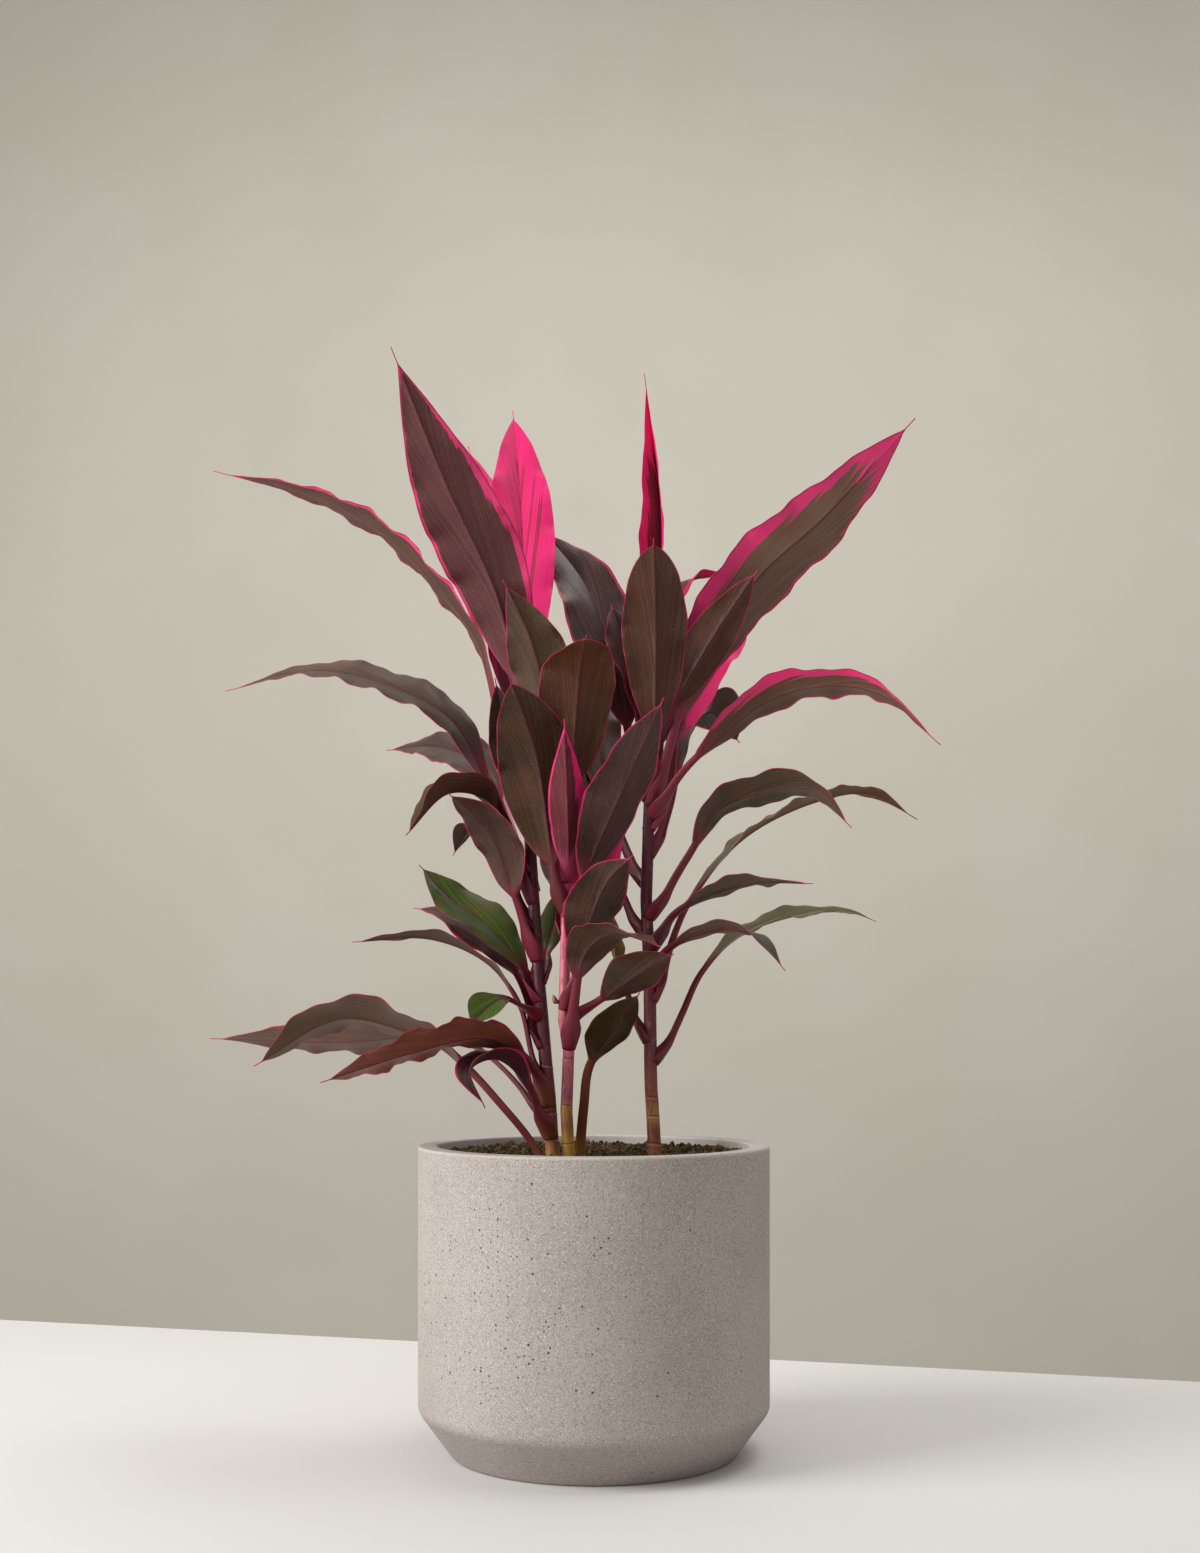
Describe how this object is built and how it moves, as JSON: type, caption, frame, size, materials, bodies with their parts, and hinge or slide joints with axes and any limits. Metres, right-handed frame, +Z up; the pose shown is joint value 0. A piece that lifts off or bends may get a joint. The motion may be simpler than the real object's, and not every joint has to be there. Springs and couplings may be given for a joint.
{
  "type": "potted cordyline",
  "caption": "Potted live cordyline: a cast concrete pot with a chamfered foot, soil, canes and long dark red leaves with pink edges.",
  "frame": {"origin": "middle of the pot's underside, on the surface it stands on", "axes": "+Z up the plant, -Y the plant's front, +X to its right seen from the front"},
  "size_m": [0.566, 0.3208, 0.7882],
  "materials": {
    "cast_concrete": "matte",
    "potting_soil": "matte",
    "cane_bark": "satin",
    "leaf_dark_red": "satin",
    "leaf_young_pink": "satin",
    "leaf_old_green": "satin"
  },
  "bodies": {
    "root": {"pot": "cast_concrete", "soil": "potting_soil", "cane_right": "cane_bark", "cane_centre": "cane_bark", "cane_left": "cane_bark", "leaf_centre_01": "leaf_young_pink", "leaf_centre_02": "leaf_dark_red", "leaf_centre_03": "leaf_dark_red", "leaf_centre_04": "leaf_dark_red", "leaf_centre_05": "leaf_dark_red", "leaf_centre_06": "leaf_dark_red", "leaf_centre_07": "leaf_dark_red", "leaf_centre_08": "leaf_dark_red", "leaf_centre_09": "leaf_dark_red", "leaf_centre_10": "leaf_young_pink", "leaf_centre_11": "leaf_dark_red", "leaf_ground_1": "leaf_old_green", "leaf_ground_2": "leaf_dark_red", "leaf_left_01": "leaf_dark_red", "leaf_left_02": "leaf_dark_red", "leaf_left_03": "leaf_young_pink", "leaf_left_04": "leaf_young_pink", "leaf_left_05": "leaf_dark_red", "leaf_left_06": "leaf_dark_red", "leaf_left_07": "leaf_old_green", "leaf_left_08": "leaf_dark_red", "leaf_left_09": "leaf_dark_red", "leaf_left_10": "leaf_old_green", "leaf_left_11": "leaf_dark_red", "leaf_left_12": "leaf_dark_red", "leaf_left_13": "leaf_old_green", "leaf_left_14": "leaf_dark_red", "leaf_left_15": "leaf_dark_red", "leaf_left_16": "leaf_dark_red", "leaf_left_17": "leaf_old_green", "leaf_right_01": "leaf_young_pink", "leaf_right_02": "leaf_young_pink", "leaf_right_03": "leaf_dark_red", "leaf_right_04": "leaf_dark_red", "leaf_right_05": "leaf_dark_red", "leaf_right_06": "leaf_dark_red", "leaf_right_07": "leaf_young_pink", "leaf_right_08": "leaf_dark_red", "leaf_right_09": "leaf_dark_red", "leaf_right_10": "leaf_dark_red", "leaf_right_11": "leaf_dark_red", "leaf_right_12": "leaf_dark_red", "leaf_right_13": "leaf_dark_red", "leaf_right_14": "leaf_old_green", "leaf_right_15": "leaf_dark_red", "leaf_right_16": "leaf_dark_red", "leaf_right_17": "leaf_dark_red", "leaf_right_18": "leaf_old_green"}
  },
  "joints": []
}
